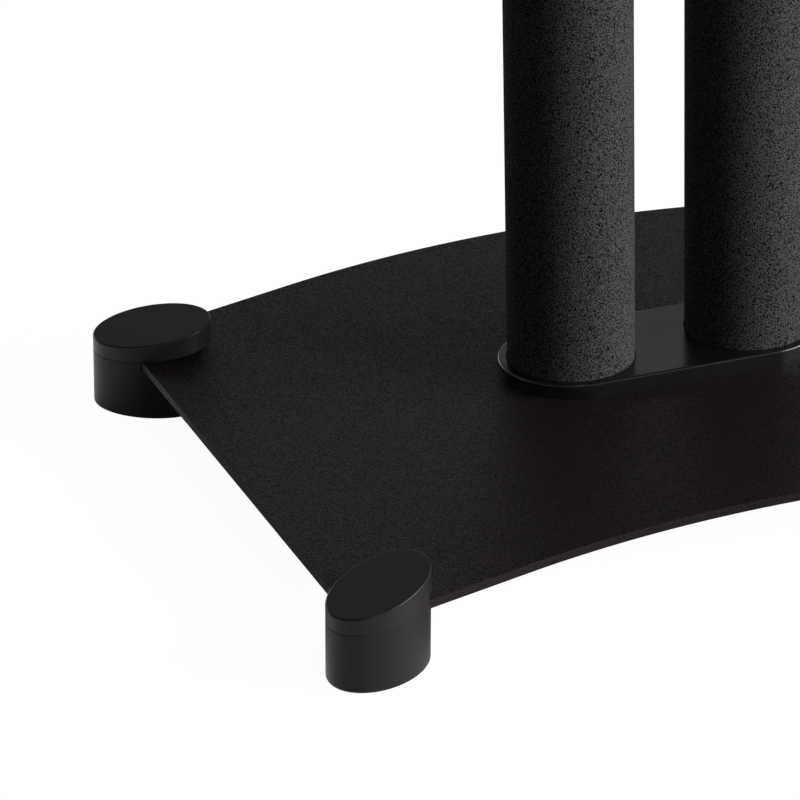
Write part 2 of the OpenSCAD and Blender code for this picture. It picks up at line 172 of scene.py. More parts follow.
class NodeBench:
    """The node tree of one material or world, emptied and ready to wire."""

    def __init__(self, owner: bpy.types.Material | bpy.types.World) -> None:
        """Open the owner's tree.

        Args:
            owner: The material or world whose nodes are made anew.
        """
        owner.use_nodes = True
        self.tree = owner.node_tree
        self.tree.nodes.clear()

    def node(self, kind: str, settings: dict | None = None,
             sockets: dict | None = None) -> bpy.types.Node:
        """Add any node.

        Args:
            kind: The node's type.
            settings: Its own settings.
            sockets: A value, a Wire or an output socket for each input, by name or number.

        Returns:
            The node.
        """
        node = self.tree.nodes.new(kind)
        for key, value in (settings or {}).items():
            setattr(node, key, value)
        for key, value in (sockets or {}).items():
            source = value.socket if isinstance(value, Wire) else value
            if isinstance(source, bpy.types.NodeSocket):
                self.tree.links.new(source, node.inputs[key])
            else:
                node.inputs[key].default_value = source
        return node

    def add(self, kind: str, settings: dict | None = None, sockets: dict | None = None,
            output: str | int = 0) -> Wire:
        """Add any node, as node() does, and take one output by name or number."""
        return Wire(self, self.node(kind, settings, sockets).outputs[output])

    def coordinates(self, stretch: Triple = (1, 1, 1)) -> Wire:
        """Object coordinates, in which a pattern repeats more often along a stretched axis."""
        place = self.add("ShaderNodeTexCoord", output="Object")
        return self.add("ShaderNodeVectorMath", {"operation": "MULTIPLY"}, {0: place, 1: stretch})

    def grain(self, size: float, detail: float = 2.0, stretch: Triple = (1, 1, 1)) -> Wire:
        """Soft random grain of a size, from 0 to 1, with finer layers, squeezed along the axes."""
        sockets = {"Vector": self.coordinates(stretch), "Scale": 1 / size, "Detail": detail,
                   "Roughness": 0.55}
        return self.add("ShaderNodeTexNoise", {}, sockets, "Fac")

    def pebbles(self, size: float) -> Wire:
        """Domes a size apart, 0 at their joints and toward 1 at their tops."""
        sockets = {"Vector": self.coordinates(), "Scale": 1 / size, "Randomness": 1.0}
        return 1 - self.add("ShaderNodeTexVoronoi", {"feature": "F1"}, sockets, "Distance")

    def blend(self, share: Wire, first: Tint, second: Tint) -> Wire:
        """A colour between two others, the first at a share of 0 and the second at 1."""
        sockets = {"Factor": share, 6: first.linear, 7: second.linear}
        return self.add("ShaderNodeMix", {"data_type": "RGBA"}, sockets, 2)

    def relief(self, height: Wire, depth: float) -> Wire:
        """The bent normal of a surface whose relief, from 0 to 1, is so deep."""
        return self.add("ShaderNodeBump", {}, {"Height": height, "Distance": depth, "Strength": 1.0})

    def surface(self, shader: bpy.types.Node) -> None:
        """Wire a finished shader to the owner's output.

        Args:
            shader: The last shader node.
        """
        world = isinstance(shader, bpy.types.ShaderNodeBackground)
        kind = "ShaderNodeOutputWorld" if world else "ShaderNodeOutputMaterial"
        self.node(kind, {}, {"Surface": shader.outputs[0]})


@dataclass(frozen=True)
class Finish:
    """A finish that any piece can take."""

    name: str
    slot: str

    def material(self) -> bpy.types.Material:
        """The finish as a material, made on first use.

        Returns:
            The one material of this finish.
        """
        found = bpy.data.materials.get(self.name)
        if found:
            return found
        made = bpy.data.materials.new(self.name)
        bench = NodeBench(made)
        bench.surface(bench.node("ShaderNodeBsdfPrincipled", {}, self.sockets(bench)))
        return made

    def sockets(self, bench: NodeBench) -> dict:
        """What the finish gives to the sockets of its shader.

        Args:
            bench: The bench of the material that is being made.

        Returns:
            A value or a Wire for each socket, by name.
        """
        raise NotImplementedError


@dataclass(frozen=True)
class PowderCoat(Finish):
    """Baked powder coat whose skin is a field of fine grains."""

    low: Tint
    high: Tint
    grain: float
    depth: float
    roughness: float
    gloss: float
    sparkle: float
    glint: Tint = Tint(255, 236, 240)

    def sockets(self, bench: NodeBench) -> dict:
        """The coat's shader sockets: grains in colour, height and roughness.

        Args:
            bench: The bench of the material that is being made.

        Returns:
            A value or a Wire for each socket, by name.
        """
        pebbles = bench.pebbles(self.grain)
        fine = bench.grain(self.grain * 0.7)
        drift = bench.grain(self.grain * 22, 1.0)
        height = pebbles * 0.5 + fine * 0.5
        crest = height.step(0.27, 0.86)
        share = crest * (0.86 + drift * 0.28)
        return {
            "Base Color": bench.blend(share, self.low, self.high),
            "Roughness": self.roughness + (0.5 - crest) * self.sparkle,
            "Specular IOR Level": self.gloss,
            "Specular Tint": self.glint.linear,
            "Normal": bench.relief(height, self.depth),
        }


@dataclass(frozen=True)
class MouldedPlastic(Finish):
    """Satin moulded plastic with a faint spark-eroded skin."""

    colour: Tint
    roughness: float
    gloss: float

    def sockets(self, bench: NodeBench) -> dict:
        """The plastic's shader sockets: a fine skin, and faint bands from the melt's flow.

        Args:
            bench: The bench of the material that is being made.

        Returns:
            A value or a Wire for each socket, by name.
        """
        skin = bench.grain(0.25 * MM, 1.0)
        flow = bench.grain(9 * MM, 2.0, (1, 1, 0.4))
        lifted = Tint(self.colour.red * 1.12, self.colour.green * 1.12, self.colour.blue * 1.13)
        return {
            "Base Color": bench.blend(flow, self.colour, lifted),
            "Roughness": self.roughness + (flow - 0.5) * 0.08,
            "Specular IOR Level": self.gloss,
            "Normal": bench.relief(skin, 0.006 * MM),
        }


@dataclass(frozen=True)
class BareMetal(Finish):
    """Machined or plated metal with the fine lines of its tool."""

    colour: Tint
    roughness: float
    line: float
    lines_along: Triple

    def sockets(self, bench: NodeBench) -> dict:
        """The metal's shader sockets: tool lines in height and roughness, uneven plating.

        Args:
            bench: The bench of the material that is being made.

        Returns:
            A value or a Wire for each socket, by name.
        """
        lines = bench.grain(self.line, 2.0, self.lines_along)
        clouds = bench.grain(2.2 * MM, 3.0)
        dull = Tint(self.colour.red * 0.82, self.colour.green * 0.82, self.colour.blue * 0.84)
        return {
            "Base Color": bench.blend(clouds, dull, self.colour),
            "Metallic": 1.0,
            "Roughness": self.roughness + (lines - 0.5) * 0.16 + (clouds - 0.5) * 0.1,
            "Normal": bench.relief(lines, 0.01 * MM),
        }


@dataclass(frozen=True)
class Rubber(Finish):
    """Matt black rubber with a talc bloom in its pores."""

    colour: Tint
    bloom: Tint
    roughness: float

    def sockets(self, bench: NodeBench) -> dict:
        """The rubber's shader sockets: pores in height, bloom in colour.

        Args:
            bench: The bench of the material that is being made.

        Returns:
            A value or a Wire for each socket, by name.
        """
        pores = bench.grain(0.35 * MM, 3.0)
        patches = bench.grain(5 * MM, 2.0)
        share = (pores * patches).step(0.2, 0.5) * 0.6
        return {
            "Base Color": bench.blend(share, self.colour, self.bloom),
            "Roughness": self.roughness + (pores - 0.5) * 0.12,
            "Specular IOR Level": 0.25,
            "Normal": bench.relief(pores, 0.04 * MM),
        }


PLATE_COAT = PowderCoat("plate powder coat", "plate_black", Tint(12, 9, 10), Tint(48, 40, 41),
                        0.8 * MM, 0.14 * MM, 0.44, 0.2, 0.4)
PILLAR_COAT = PowderCoat("pillar powder coat", "pillar_black", Tint(8, 8, 8), Tint(114, 111, 112),
                         0.6 * MM, 0.25 * MM, 0.75, 0.01, 0.2)
SHOE_SATIN = MouldedPlastic("shoe satin black", "shoe_black", Tint(20, 20, 23), 0.24, 0.5)
CAP_PLASTIC = MouldedPlastic("foot cap plastic", "cap_black", Tint(41, 38, 39), 0.32, 0.23)
BODY_PLASTIC = MouldedPlastic("foot body plastic", "body_black", Tint(37, 34, 35), 0.36, 0.21)
MILL_STEEL = BareMetal("mill steel", "end_plate_steel", Tint(118, 118, 120), 0.5, 0.4 * MM,
                       (1, 14, 1))
BLACK_OXIDE = BareMetal("black oxide", "bolt_black", Tint(62, 62, 65), 0.42, 0.3 * MM, (1, 1, 9))
ZINC_PLATE = BareMetal("zinc plate", "zinc", Tint(190, 192, 196), 0.32, 0.3 * MM, (1, 1, 9))
TURNED_BRASS = BareMetal("turned brass", "brass", Tint(205, 168, 96), 0.28, 0.2 * MM, (1, 1, 12))
SPIKE_STEEL = BareMetal("spike steel", "spike_steel", Tint(172, 173, 176), 0.27, 0.2 * MM,
                        (1, 1, 12))
FLOOR_RUBBER = Rubber("floor pad rubber", "floor_rubber", Tint(30, 30, 30), Tint(66, 66, 65), 0.75)
PAD_RUBBER = Rubber("speaker pad rubber", "speaker_rubber", Tint(34, 34, 35), Tint(74, 74, 73),
                    0.68)


def open_only(piece: Piece) -> None:
    """Select one piece alone and make it the active one.

    Args:
        piece: The piece to work on.
    """
    bpy.ops.object.select_all(action="DESELECT")
    bpy.context.view_layer.objects.active = piece
    piece.select_set(True)


@contextmanager
def editing(piece: Piece) -> Iterator[None]:
    """Hold one piece open in edit mode, with nothing on it selected.

    Args:
        piece: The piece to edit.
    """
    open_only(piece)
    bpy.ops.object.mode_set(mode="EDIT")
    bpy.ops.mesh.select_all(action="DESELECT")
    yield
    bpy.ops.object.mode_set(mode="OBJECT")


def pick(piece: Piece, kind: Element, test: Test) -> None:
    """Select the elements of an open piece that pass a test.

    Args:
        piece: The piece that is open in edit mode.
        kind: What is picked.
        test: Takes the middle of an element and its normal, which is an edge's direction.
    """
    bpy.ops.mesh.select_all(action="DESELECT")
    bpy.ops.mesh.select_mode(type=kind.value)
    mesh = bmesh.from_edit_mesh(piece.data)
    mesh.normal_update()
    if kind is Element.POINT:
        for point in mesh.verts:
            point.select_set(test(point.co, point.normal))
    elif kind is Element.EDGE:
        for edge in mesh.edges:
            first, last = (point.co for point in edge.verts)
            edge.select_set(test((first + last) / 2, (last - first).normalized()))
    else:
        for face in mesh.faces:
            face.select_set(test(face.calc_center_median(), face.normal))
    mesh.select_flush_mode()
    bmesh.update_edit_mesh(piece.data)


def settle(piece: Piece) -> Piece:
    """Apply a piece's place, turn and scale to its mesh.

    Args:
        piece: The piece whose object goes back to the origin.

    Returns:
        The same piece.
    """
    open_only(piece)
    bpy.ops.object.transform_apply(location=True, rotation=True, scale=True)
    return piece


def bar(name: str, radius: float, low: float, high: float, sides: int = 64,
        centre: Vector | tuple = (0, 0), stretch: float = 1.0, turn: float = 0.0) -> Piece:
    """Start a piece from a closed bar that stands along Z.

    Args:
        name: The piece's name.
        radius: Its radius along its own X.
        low: The height of its lower end.
        high: The height of its upper end.
        sides: How many sides it has.
        centre: The place of its axis in plan.
        stretch: Its radius along its own Y, against that along X.
        turn: Its turn about its axis, in radians.

    Returns:
        The piece, in place.
    """
    bpy.ops.object.select_all(action="DESELECT")
    bpy.ops.mesh.primitive_cylinder_add(vertices=sides, radius=radius, depth=high - low)
    piece = bpy.context.active_object
    piece.name = name
    piece.location = (centre[0], centre[1], (low + high) / 2)
    piece.rotation_euler = (0, 0, turn)
    piece.scale = (1, stretch, 1)
    return settle(piece)


def across_flats(width: float) -> float:
    """The outer radius of a hexagon, from the width across its flats."""
    return width / 2 / math.cos(math.radians(30))


def bevel(width: float, steps: int = 2) -> None:
    """Bevel the selected edges of the open piece to a width, in so many faces."""
    bpy.ops.mesh.bevel(offset=width, segments=steps, profile=0.5, affect="EDGES",
                       clamp_overlap=True)


def flatten_faces() -> None:
    """Split the open piece's faces into triangles, which a boolean cuts cleanly."""
    bpy.ops.mesh.select_all(action="SELECT")
    bpy.ops.mesh.quads_convert_to_tris()


def bevel_rims(piece: Piece, width: float, steps: int, *heights: float) -> None:
    """Bevel the level edges of an open piece at some heights.

    Args:
        piece: The piece, open in edit mode.
        width: How far the bevel reaches.
        steps: How many faces round it.
        heights: The heights of the rims.
    """
    pick(piece, Element.EDGE, lambda place, way: abs(way.z) < 0.5
         and min(abs(place.z - height) for height in heights) < CLOSE)
    bevel(width, steps)


def bevel_ends(piece: Piece, width: float) -> None:
    """Bevel the rims at both ends of a bar that stands along Z."""
    heights = [point.co.z for point in piece.data.vertices]
    with editing(piece):
        bevel_rims(piece, width, 2, min(heights), max(heights))


def apply(piece: Piece, modifier: bpy.types.Modifier) -> None:
    """Apply one modifier of a piece."""
    open_only(piece)
    bpy.ops.object.modifier_apply(modifier=modifier.name)


def work(piece: Piece, join: Join, tools: Iterable[Piece]) -> Piece:
    """Work closed tool shapes into a piece and use them up.

    Args:
        piece: The piece, which is closed.
        join: Whether the tools add to it, cut it or trim it.
        tools: The tool shapes.

    Returns:
        The same piece.
    """
    for tool in tools:
        modifier = piece.modifiers.new("work", "BOOLEAN")
        modifier.operation = join.value
        modifier.solver = "EXACT"
        modifier.object = tool
        apply(piece, modifier)
        bpy.data.objects.remove(tool)
    return piece


def merged(piece: Piece) -> Piece:
    """Merge a piece's doubled points and turn its faces outwards.

    Args:
        piece: The piece.

    Returns:
        The same piece.
    """
    with editing(piece):
        bpy.ops.mesh.select_all(action="SELECT")
        bpy.ops.mesh.remove_doubles(threshold=0.001 * MM)
        bpy.ops.mesh.normals_make_consistent(inside=False)
    return piece


def copied(piece: Piece, name: str, place: Matrix) -> Piece:
    """Copy a piece, with a mesh of its own, to another place.

    Args:
        piece: The piece that is modelled once.
        name: The copy's name.
        place: Moves, turns or mirrors the copy.

    Returns:
        The copy.
    """
    twin = piece.copy()
    twin.data = piece.data.copy()
    twin.name = name
    bpy.context.scene.collection.objects.link(twin)
    twin.data.transform(place)
    if place.determinant() < 0:
        with editing(twin):
            bpy.ops.mesh.select_all(action="SELECT")
            bpy.ops.mesh.flip_normals()
    return twin


def gathered(name: str, piece: Piece, places: Iterable[Matrix]) -> Piece:
    """Copy a piece to several places, as one object of separate shells.

    Args:
        name: The object's name.
        piece: The piece that is modelled once, and used up.
        places: Where its copies go.

    Returns:
        The object.
    """
    twins = [copied(piece, name, place) for place in places]
    bpy.data.objects.remove(piece)
    open_only(twins[0])
    for twin in twins[1:]:
        twin.select_set(True)
    bpy.ops.object.join()
    return twins[0]


def dress(piece: Piece, finish: Finish, *nodes: str, body: str = STAND) -> None:
    """Close a piece's hairline cracks, shade it and let it stand for its nodes.

    Args:
        piece: The modelled piece, in place.
        finish: Its finish.
        nodes: The construction's nodes that it replaces.
        body: The moving body that it rides on.
    """
    with editing(piece):
        bpy.ops.mesh.select_all(action="SELECT")
        bpy.ops.mesh.fill_holes(sides=6)
    open_only(piece)
    bpy.ops.object.shade_smooth_by_angle(angle=SMOOTH_BELOW)
    modifier = piece.modifiers.new("even shading", "WEIGHTED_NORMAL")
    modifier.keep_sharp = True
    apply(piece, modifier)
    piece.data.materials.clear()
    piece.data.materials.append(finish.material())
    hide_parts(*nodes)
    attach(piece, body)
    log.info("%s: %d faces, %s", piece.name, len(piece.data.polygons), finish.name)


def refinish(finish: Finish, *nodes: str) -> None:
    """Give nodes whose shape stays their finish.

    Args:
        finish: The finish.
        nodes: The construction's nodes.
    """
    for name in nodes:
        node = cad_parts[name]
        for slot in node.material_slots:
            slot.material = finish.material()
        log.info("%s: kept, %s", name, finish.name)


def middle(node: str) -> Vector:
    """The middle of a construction node's box."""
    low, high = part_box(node)
    return (low + high) / 2


def copied_node(node: str, name: str) -> Piece:
    """Copy a construction node as a clean closed mesh, to shape further.

    Args:
        node: The node.
        name: The new piece's name.

    Returns:
        The copy, with merged points and flat faces made whole.
    """
    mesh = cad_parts[node].data.copy()
    mesh.materials.clear()
    piece = bpy.data.objects.new(name, mesh)
    bpy.context.scene.collection.objects.link(piece)
    with editing(piece):
        bpy.ops.mesh.select_all(action="SELECT")
        bpy.ops.mesh.remove_doubles(threshold=0.005 * MM)
        bpy.ops.mesh.customdata_custom_splitnormals_clear()
        bpy.ops.mesh.dissolve_limited(angle_limit=math.radians(0.2))
        bpy.ops.mesh.normals_make_consistent(inside=False)
    return piece


@dataclass
class CoatedPlate:
    """A laser-cut steel plate whose edges the powder coat rounds over."""

    node: str
    edge_round: float = 0.45 * MM

    def build(self) -> None:
        """Round the plate's cut edges and coat it."""
        piece = copied_node(self.node, f"coated_{self.node}")
        rounding = piece.modifiers.new("edges", "BEVEL")
        rounding.width = self.edge_round
        rounding.segments = 3
        rounding.limit_method = "ANGLE"
        rounding.angle_limit = math.radians(50)
        apply(piece, rounding)
        dress(piece, PLATE_COAT, self.node)


@dataclass
class Pillar:
    """A round steel tube with a coarse powder coat."""

    side: Side
    wall: float = 1.6 * MM
    end_round: float = 0.4 * MM
    sides: int = 128

    def build(self) -> None:
        """Model the tube from its node's box and coat it."""
        node = f"pillar_{self.side.word}"
        low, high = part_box(node)
        centre = (low + high) / 2
        radius = (high.x - low.x) / 2
        tube = bar(f"coated_{node}", radius, low.z, high.z, self.sides, centre)
        with editing(tube):
            pick(tube, Element.FACE, lambda place, normal: abs(normal.z) > 0.5)
            bpy.ops.mesh.inset(thickness=self.wall)
            bpy.ops.mesh.bridge_edge_loops()
        with editing(tube):
            pick(tube, Element.EDGE, lambda place, way: abs(way.z) < 0.5 and (
                place.xy - centre.xy).length > radius - 0.2 * MM)
            bevel(self.end_round, 3)
        dress(merged(tube), PILLAR_COAT, node)


@dataclass
class Shoe:
    """The smooth stadium collar round one end of both pillars."""

    node: str
    faces_up: bool
    rim_round: float = 0.9 * MM
    bore_gap: float = 0.15 * MM
    bore_round: float = 0.35 * MM
    sides: int = 128

    def build(self) -> None:
        """Model the stadium, bore it for the tubes and round its rims."""
        low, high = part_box(self.node)
        centre = (low + high) / 2
        radius = (high.y - low.y) / 2
        pitch = high.x - low.x - 2 * radius
        half_step = math.pi / self.sides
        shoe = bar(f"satin_{self.node}", radius / math.cos(half_step), low.z, high.z, self.sides,
                   centre, turn=half_step)
        with editing(shoe):
            for side in Side:
                pick(shoe, Element.POINT,
                     lambda place, normal: (place.x - centre.x) * side.value > 0)
                bpy.ops.transform.translate(value=(side.value * pitch / 2, 0, 0))
        free_rim = high.z if self.faces_up else low.z
        with editing(shoe):
            bevel_rims(shoe, self.rim_round, 5, free_rim)
        tube_low, tube_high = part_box("pillar_left")
        bore = (tube_high.x - tube_low.x) / 2 + self.bore_gap
        places = [middle(f"pillar_{side.word}") for side in Side]
        work(shoe, Join.CUT, [bar("bore", bore, low.z - OVERRUN, high.z + OVERRUN, self.sides,
                                  place) for place in places])
        with editing(shoe):
            pick(shoe, Element.EDGE, lambda place, way: abs(way.z) < 0.5
                 and abs(place.z - free_rim) < CLOSE
                 and min((place.xy - axis.xy).length for axis in places) < bore + 0.02 * MM)
            bevel(self.bore_round, 3)
        dress(shoe, SHOE_SATIN, self.node)


def threaded_rod(name: str, radius: float, pitch: float, low: float, high: float,
                 chamfer: float) -> Piece:
    """Model a closed rod with a real helical thread and a chamfered upper end.

    Args:
        name: The rod's name.
        radius: The thread's outer radius.
        pitch: The rise of one turn.
        low: The height of the lower end.
        high: The height of the upper end.
        chamfer: The chamfer of the upper end.

    Returns:
        The rod, about the Z axis.
    """
    sides, rows_a_turn, levels = 24, 8, 3
    depth = THREAD_DEPTH_SHARE * pitch
    rod = bar(name, radius, low, high + pitch, sides)

    def level(place: Vector) -> int:
        """How deep a point lies in the thread, from 0 at a crest to the last level."""
        phase = (place.z / pitch - math.atan2(place.y, place.x) / math.tau) % 1
        return round((1 - abs(2 * phase - 1)) * levels)

    with editing(rod):
        pick(rod, Element.EDGE, lambda place, way: abs(way.z) > 0.5)
        bpy.ops.mesh.subdivide(number_cuts=math.ceil((high + pitch - low) / pitch * rows_a_turn))
        for wanted in range(1, levels + 1):
            pick(rod, Element.POINT, lambda place, normal: abs(place.xy.length - radius) < CLOSE / 10
                 and level(place) == wanted)
            share = 1 - wanted / levels * depth / radius
            bpy.ops.transform.resize(value=(share, share, 1), center_override=(0, 0, 0))
        flatten_faces()
    blank = bar("blank", radius + 10 * CLOSE, low - OVERRUN, high, sides * 2)
    with editing(blank):
        bevel_rims(blank, chamfer, 1, high)
    return work(rod, Join.KEEP_COMMON, [blank])


class Head(Enum):
    """The heads that the stand's screws have."""

    CAP = "cap"
    COUNTERSUNK = "countersunk"


@dataclass
class SocketScrew:
    """A screw that is turned by a hexagonal key, with its head at the bottom."""

    thread_d: float
    pitch: float
    length: float
    head_d: float
    head_h: float
    socket_across: float
    socket_depth: float
    head: Head = Head.CAP
    flutes: int = 48
    flute_share: float = 0.975
    edge_round: float = 0.5 * MM
    mouth_bevel: float = 0.25 * MM
    hidden_share: float = 0.1

    def model(self, name: str) -> Piece:
        """Model the screw about the Z axis, with the head's free face at zero.

        Args:
            name: The screw's name.

        Returns:
            The screw.
        """
        head = bar(name, self.head_d / 2, 0, self.head_h, self.flutes * 2)
        with editing(head):
            if self.head is Head.CAP:
                bevel_rims(head, self.edge_round, 3, 0)
                self._flute(head)
            else:
                pick(head, Element.POINT, lambda place, normal: place.z > self.head_h - CLOSE)
                share = self.thread_d / self.head_d
                bpy.ops.transform.resize(value=(share, share, 1))
        shank = threaded_rod("shank", self.thread_d / 2, self.pitch,
                             self.head_h * (1 - self.hidden_share), self.head_h + self.length,
                             self.edge_round)
        work(head, Join.ADD, [shank])
        key_r = across_flats(self.socket_across)
        key = bar("key", key_r, -OVERRUN, self.socket_depth, 6)
        mouth = bar("mouth", key_r + self.mouth_bevel, -OVERRUN, self.mouth_bevel, 32)
        with editing(mouth):
            pick(mouth, Element.POINT, lambda place, normal: place.z > 0)
            share = 1 - 2 * self.mouth_bevel / key_r
            bpy.ops.transform.resize(value=(share, share, 1))
        return work(head, Join.CUT, [key, mouth])

    def _flute(self, head: Piece) -> None:
        """Press the grip's flutes into the side of an open head.

        Args:
            head: The head, open in edit mode.
        """
        step = math.tau / self.flutes
        pick(head, Element.POINT, lambda place, normal: place.xy.length > self.head_d / 2 - CLOSE
             and 0.25 < math.atan2(place.y, place.x) / step % 1 < 0.75)
        bpy.ops.transform.resize(value=(self.flute_share, self.flute_share, 1))
        flatten_faces()


@dataclass
class Fasteners:
    """The bolts and washers that hold the pillars to both plates."""

    thread_d: float = 6 * MM
    pitch: float = 1 * MM
    washer_r: float = 6 * MM
    washer_bore_r: float = 3.15 * MM
    washer_round: float = 0.2 * MM

    def build(self) -> None:
        """Model each kind once and copy it to the four bolts of its plate."""
        self._build_base_bolts()
        self._build_washers()
        self._build_top_bolts()

    def _corners(self, node: str, inset: float) -> list[Vector]:
        """The four plan places that lie an inset inside the corners of a node's box."""
        low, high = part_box(node)
        return [Vector((x, y, 0)) for x in (low.x + inset, high.x - inset)
                for y in (low.y + inset, high.y - inset)]

    def _build_base_bolts(self) -> None:
        """Cap screws that come up through the base plate."""
        low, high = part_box("base_bolts")
        head_d, head_h = 10 * MM, 4 * MM
        screw = SocketScrew(self.thread_d, self.pitch, high.z - low.z - head_h, head_d, head_h,
                            5 * MM, 2.4 * MM)
        places = [Matrix.Translation(place + Vector((0, 0, low.z)))
                  for place in self._corners("base_bolts", head_d / 2)]
        bolts = gathered("fluted_base_bolts", screw.model("base_bolt"), places)
        dress(bolts, BLACK_OXIDE, "base_bolts")

    def _build_top_bolts(self) -> None:
        """Countersunk screws that go down through the top plate."""
        low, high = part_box("top_bolts")
        head_d = 12 * MM
        head_h = (head_d - self.thread_d) / 2
        screw = SocketScrew(self.thread_d, self.pitch, high.z - low.z - head_h, head_d, head_h,
                            4 * MM, 1.8 * MM, Head.COUNTERSUNK)
        over = Matrix.Rotation(math.pi, 4, "X")
        places = [Matrix.Translation(place + Vector((0, 0, high.z))) @ over
                  for place in self._corners("top_bolts", head_d / 2)]
        bolts = gathered("threaded_top_bolts", screw.model("top_bolt"), places)
        dress(bolts, BLACK_OXIDE, "top_bolts")

    def _build_washers(self) -> None:
        """Punched washers under the heads of the base bolts."""
        low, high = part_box("base_washers")
        washer = bar("washer", self.washer_r, low.z, high.z, 64)
        work(washer, Join.CUT, [bar("hole", self.washer_bore_r, low.z - OVERRUN,
                                    high.z + OVERRUN, 64)])
        bevel_ends(washer, self.washer_round)
        places = [Matrix.Translation(place)
                  for place in self._corners("base_washers", self.washer_r)]
        dress(gathered("punched_base_washers", washer, places), ZINC_PLATE, "base_washers")


@dataclass
class Foot:
    """A pair of mirrored feet: cap, body, floor pad, bush and spike."""

    end: End
    turn: float
    length: float = 48.4 * MM
    width: float = 35 * MM
    cap_h: float = 8.1 * MM
    slant: float = math.radians(11.5)
    rim_round: float = 0.7 * MM
    seam_lift: float = 0.3 * MM
    seam_slant: float = math.radians(7.2)
    land_inset: float = 3.5 * MM
    step_in: float = 0.15 * MM
    draft: float = 0.05 * MM
    bottom_round: float = 0.8 * MM
    rake: float = 0.8 * MM
    pocket_gap: float = 0.2 * MM
    pocket_slack: float = 0.6 * MM
    pad_margin: float = 4 * MM
    screw_offset: float = 14 * MM
    peg_offset: float = 19.3 * MM
    peg_d: float = 3 * MM
    peg_l: float = 5 * MM
    spike_hole_d: float = 8.6 * MM
    spike_head_room: float = 0.7 * MM
    cavity_r: float = 6.5 * MM
    cavity_top: float = 13 * MM
    bush_r: float = 5 * MM
    bush_bore_r: float = 3.05 * MM
    flange_r: float = 7 * MM
    flange_h: float = 1.2 * MM
    knurls: int = 36
    collar_across: float = 9 * MM
    collar_h: float = 2.4 * MM
    point_h: float = 7 * MM
    point_r: float = 3.8 * MM
    stem_r: float = 3 * MM
    screw_seat: float = 9 * MM
    screw_land_low: float = 12 * MM
    groove_w: float = 0.7 * MM
    sides: int = 128
    plate_low: float = field(init=False)
    plate_high: float = field(init=False)
    centre: Vector = field(init=False)

    def __post_init__(self) -> None:
        """Read the plate's heights and the left foot's place from the construction."""
        self.plate_low, self.plate_high = (corner.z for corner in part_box("base_plate"))
        self.centre = middle(self._node("carpet_spike", Side.LEFT))

    def _node(self, kind: str, side: Side) -> str:
        """The node's name for a kind of piece on one side."""
        return f"{kind}_{self.end.word}_{side.word}"

    def _box(self, kind: str) -> tuple[Vector, Vector]:
        """The box of the left foot's node of a kind."""
        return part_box(self._node(kind, Side.LEFT))

    def along(self, distance: float) -> Vector:
        """A plan place on the foot's long axis, inward for a positive distance."""
        way = Vector((math.cos(self.turn), math.sin(self.turn), 0))
        return self.centre + way * distance

    def oval(self, name: str, inset: float, low: float, high: float,
             shift: float = 0.0) -> Piece:
        """An oval bar inside the foot's outline.

        Args:
            name: The bar's name.
            inset: How far inside the outline it stays.
            low: The height of its lower end.
            high: The height of its upper end.
            shift: How far it stands away from the stand's middle, against the outline.

        Returns:
            The bar, in the left foot's place.
        """
        half_l, half_w = self.length / 2 - inset, self.width / 2 - inset
        centre = self.centre - Vector((shift, 0, 0))
        return bar(name, half_l, low, high, self.sides, centre, half_w / half_l, self.turn)

    def on_both_sides(self, piece: Piece, word: str, finish: Finish, kind: str,
                      rides: bool = False) -> None:
        """Copy a left foot's piece to the right one and dress both.

        Args:
            piece: The left foot's piece, which is used up.
            word: The first word of the copies' names.
            finish: Their finish.
            kind: The kind of node that they stand for.
            rides: Whether they ride on the foot's own spike body.
        """
        mirror = Matrix.Scale(-1, 4, (1, 0, 0))
        for side, place in ((Side.LEFT, Matrix.Identity(4)), (Side.RIGHT, mirror)):
            node = self._node(kind, side)
            body = f"spike_{self.end.word}_{side.word}" if rides else STAND
            dress(copied(piece, f"{word}_{node}", place), finish, node, body=body)
        bpy.data.objects.remove(piece)

    def build(self) -> None:
        """Model all pieces of the pair."""
        self.on_both_sides(self._cap(), "moulded", CAP_PLASTIC, "foot_cap")
        self.on_both_sides(self._body(), "moulded", BODY_PLASTIC, "foot_body")
        self.on_both_sides(self._floor_pad(), "ribbed", FLOOR_RUBBER, "floor_pad")
        self.on_both_sides(self._bush(), "knurled", TURNED_BRASS, "spike_bush")
        self.on_both_sides(self._spike(), "threaded", SPIKE_STEEL, "carpet_spike", rides=True)

    def _trim(self, piece: Piece, lift: float, slant: float, keep_above: bool) -> None:
        """Cut an open piece along a plane that rises toward the stand's middle.

        Args:
            piece: The piece, open in edit mode.
            lift: The plane's height above the plate at the foot's middle.
            slant: The plane's rise.
            keep_above: Whether the part above the plane stays, or the part below it.
        """
        through = Vector((self.centre.x, self.centre.y, self.plate_high + lift))
        bpy.ops.mesh.select_all(action="SELECT")
        bpy.ops.mesh.bisect(plane_co=through, plane_no=(-math.tan(slant), 0, 1), use_fill=True,
                            clear_inner=keep_above, clear_outer=not keep_above)
        mesh = bmesh.from_edit_mesh(piece.data)
        mesh.normal_update()

    def _on_plane(self, lift: float, slant: float) -> Test:
        """A test for elements that lie on a plane as _trim() takes it."""
        return lambda place, way: abs(place.z - self.plate_high - lift - math.tan(slant)
                                      * (place.x - self.centre.x)) < CLOSE

